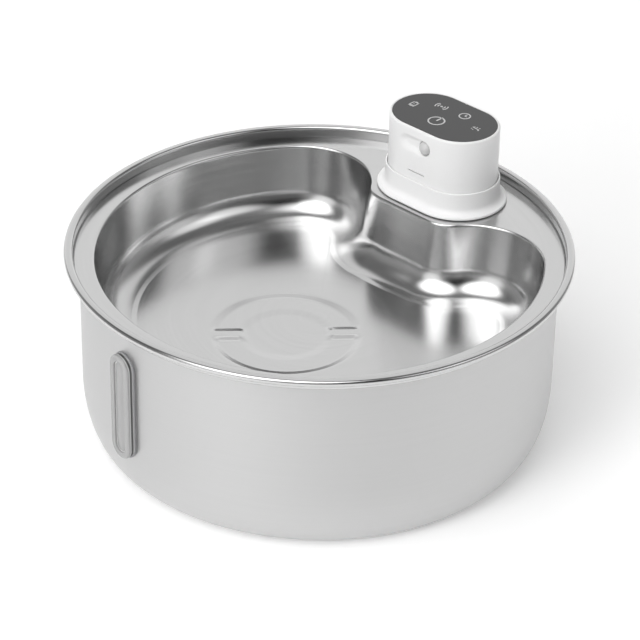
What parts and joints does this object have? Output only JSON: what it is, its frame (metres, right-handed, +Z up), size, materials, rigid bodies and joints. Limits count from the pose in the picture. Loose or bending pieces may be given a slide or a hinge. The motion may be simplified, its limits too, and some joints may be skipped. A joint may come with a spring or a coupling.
{
  "type": "pet water fountain",
  "caption": "Cordless pet water fountain: round steel tank, hanging steel drinking tray with a kidney-shaped basin, and a white lift-out pump head.",
  "frame": {"origin": "on the floor under the middle of the tank", "axes": "+Z up, +Y from the middle of the tank to the pump head, +X to the right seen from the basin's side"},
  "size_m": [0.29, 0.29, 0.1605],
  "materials": {
    "steel_tank": "satin",
    "steel_tray": "polished",
    "foot_silicone": "matte",
    "window_clear": "clear",
    "seal_silicone": "matte",
    "white_plastic": "satin",
    "frame_plastic": "matte",
    "panel_dark": "gloss",
    "board_green": "satin",
    "pad_brass": "satin",
    "screw_steel": "satin",
    "lens_clear": "clear",
    "can_metal": "satin",
    "socket_metal": "polished",
    "cover_rubber": "matte",
    "seal_black": "matte",
    "black_plastic": "matte",
    "cell_wrap": "satin",
    "core_steel": "satin",
    "coil_copper": "gloss",
    "lead_red": "satin",
    "shaft_ceramic": "polished",
    "bush_grey": "satin",
    "rotor_white": "satin",
    "magnet_dark": "matte",
    "cup_clear": "clear",
    "media_black": "matte",
    "sponge_cream": "matte"
  },
  "bodies": {
    "tank": {"tank": "steel_tank", "foot_ring": "foot_silicone", "window_lens": "window_clear", "window_gasket": "seal_silicone", "window_frame": "frame_plastic", "window_screws": "screw_steel"},
    "tray_unit": {"tray": "steel_tray", "collar": "white_plastic", "collar_clamp": "frame_plastic", "collar_screws": "screw_steel"},
    "head": {"head_shell": "white_plastic", "touch_panel": "panel_dark", "touch_board": "board_green", "touch_pads": "pad_brass", "board_screws": "screw_steel", "sensor_lens": "lens_clear", "sensor_can": "can_metal", "sensor_board": "board_green", "outlet_nozzle": "frame_plastic", "riser_duct": "frame_plastic", "charge_socket": "socket_metal", "charge_board": "board_green", "stem_case": "white_plastic", "case_seal": "seal_black", "case_screws": "screw_steel", "cell_holder": "black_plastic", "battery_cells": "cell_wrap", "cell_cap": "black_plastic", "cell_links": "can_metal", "power_board": "board_green", "stator_core": "core_steel", "stator_coils": "coil_copper", "motor_lead": "lead_red", "pump_housing": "frame_plastic", "pump_screws": "screw_steel", "pump_seal": "seal_black", "rotor_shaft": "shaft_ceramic", "shaft_bushes": "bush_grey"},
    "impeller": {"impeller": "rotor_white", "rotor_magnet": "magnet_dark"},
    "port_cover": {"port_cover": "cover_rubber"},
    "filter": {"filter_cup": "cup_clear", "filter_media": "media_black", "filter_sponge": "sponge_cream"}
  },
  "joints": [
    {"name": "tray_lift", "type": "slide", "parent": "tank", "child": "tray_unit", "axis": [0, 0, 1], "range_m": [0, 0.13]},
    {"name": "head_lift", "type": "slide", "parent": "tray_unit", "child": "head", "axis": [0, 0, 1], "range_m": [0, 0.13]},
    {"name": "impeller_spin", "type": "hinge", "parent": "head", "child": "impeller", "pos_m": [0, 0.104, 0.04], "axis": [0, 0, 1], "continuous": true},
    {"name": "port_cover_swing", "type": "hinge", "parent": "head", "child": "port_cover", "pos_m": [0, 0.1265, 0.1378], "axis": [-1, 0, 0], "range_deg": [0, 95]},
    {"name": "filter_twist", "type": "hinge", "parent": "head", "child": "filter", "pos_m": [0, 0.104, 0.031], "axis": [0, 0, 1], "range_deg": [0, 30]}
  ]
}
